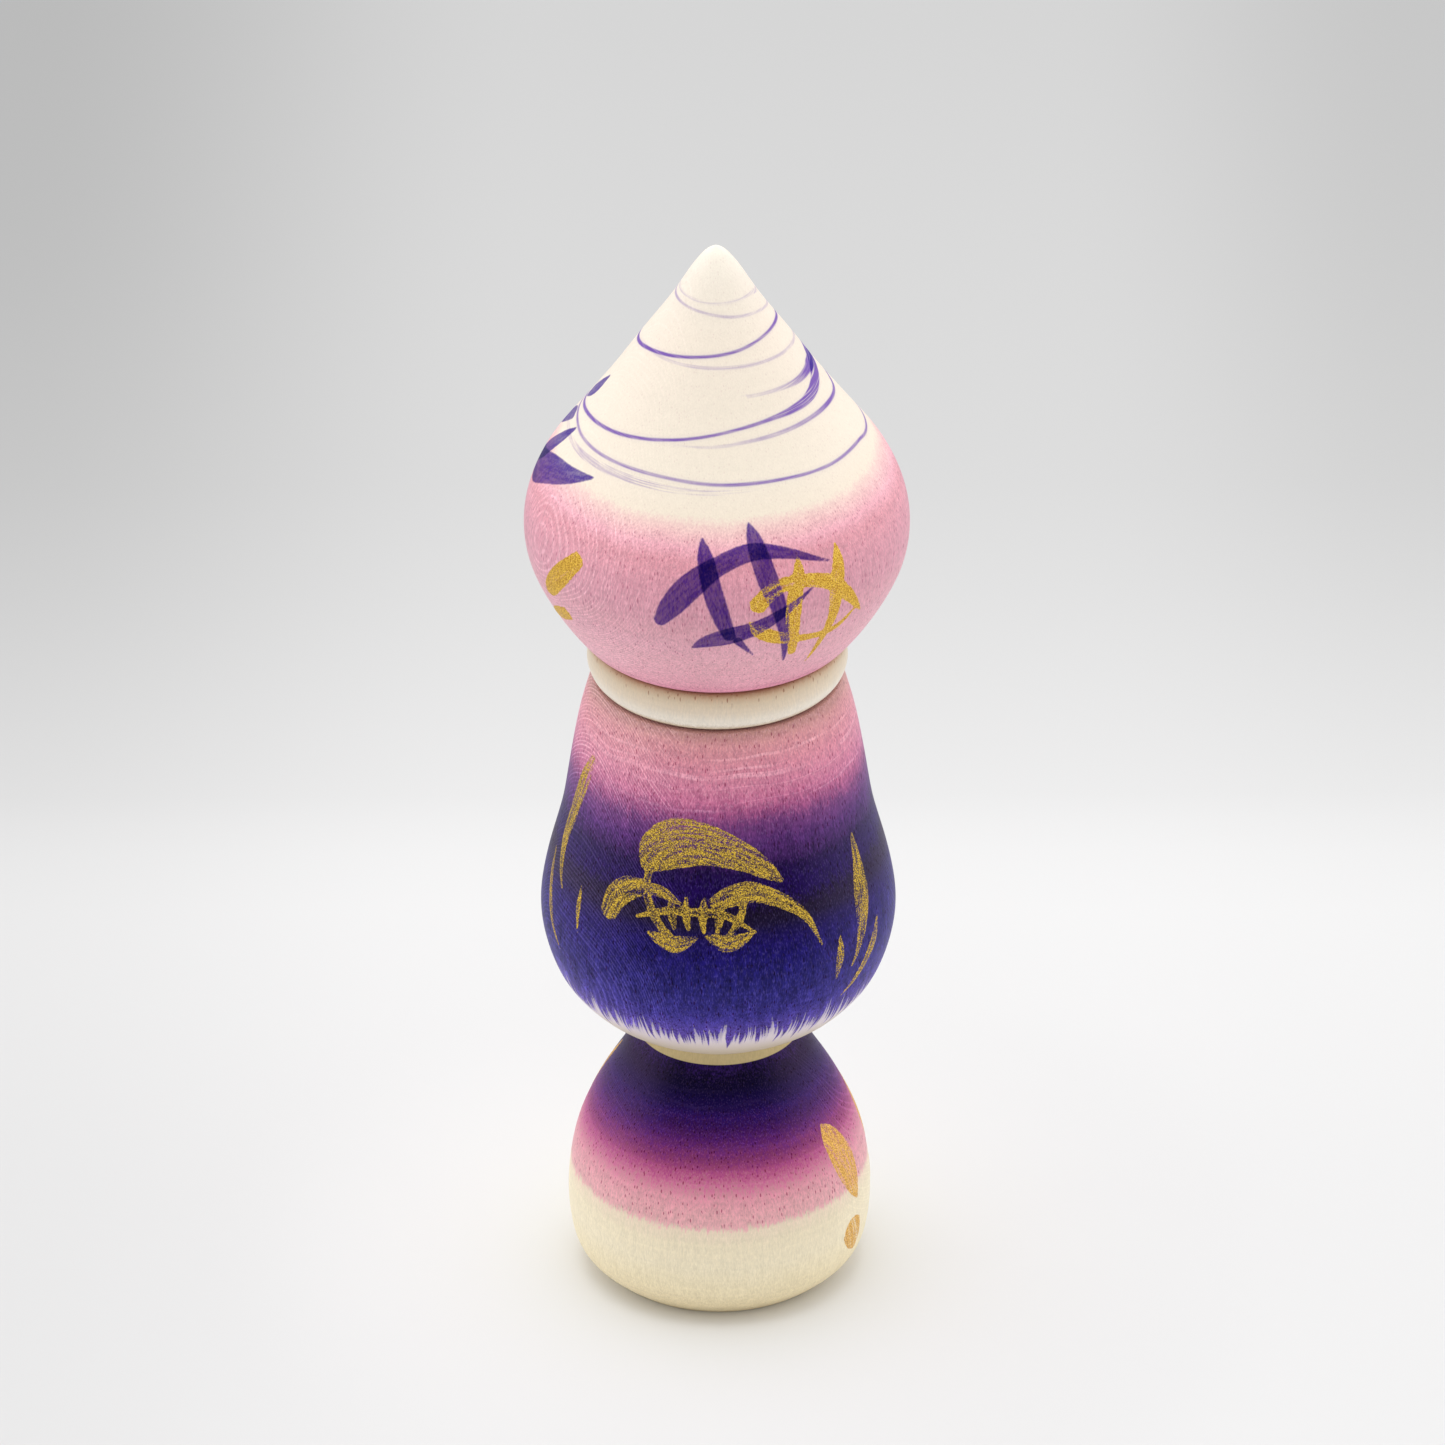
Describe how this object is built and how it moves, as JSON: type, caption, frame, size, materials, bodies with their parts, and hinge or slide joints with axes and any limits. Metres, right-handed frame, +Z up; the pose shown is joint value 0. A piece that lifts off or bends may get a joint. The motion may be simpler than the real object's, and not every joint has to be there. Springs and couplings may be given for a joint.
{
  "type": "kokeshi doll",
  "caption": "Turned wooden kokeshi doll with an onion-shaped head that turns on a neck tenon, a loose collar ring, a pear-shaped torso and a gourd-shaped base.",
  "frame": {"origin": "centre of the foot, on the surface that the doll stands on", "axes": "+Z up along the turning axis, the side with the painted motifs faces -Y, +X to the right of a viewer who faces that side"},
  "size_m": [0.0492, 0.0492, 0.15],
  "materials": {
    "dyed_base_wood": "satin wax over dye: dark indigo at the waist, purple, pink, then bare cream wood at the foot",
    "dyed_torso_wood": "satin wax over dye: pink at the shoulder, magenta, then deep blue-violet, with gold brush strokes",
    "waxed_pale_wood": "waxed bare pale wood",
    "dyed_head_wood": "satin wax over bare cream wood with violet spiral lines above and pink dye below",
    "bare_wood": "bare turned wood"
  },
  "bodies": {
    "body": {"base": "dyed_base_wood", "waist_dowel": "bare_wood", "torso": "dyed_torso_wood"},
    "collar": {"collar_ring": "waxed_pale_wood"},
    "head": {"neck_tenon": "bare_wood", "head": "dyed_head_wood"}
  },
  "joints": [
    {"name": "head_turn", "type": "hinge", "parent": "body", "child": "head", "pos_m": [0, 0, 0.088], "axis": [0, 0, 1], "continuous": true},
    {"name": "collar_turn", "type": "hinge", "parent": "body", "child": "collar", "pos_m": [0, 0, 0.088], "axis": [0, 0, 1], "continuous": true}
  ]
}
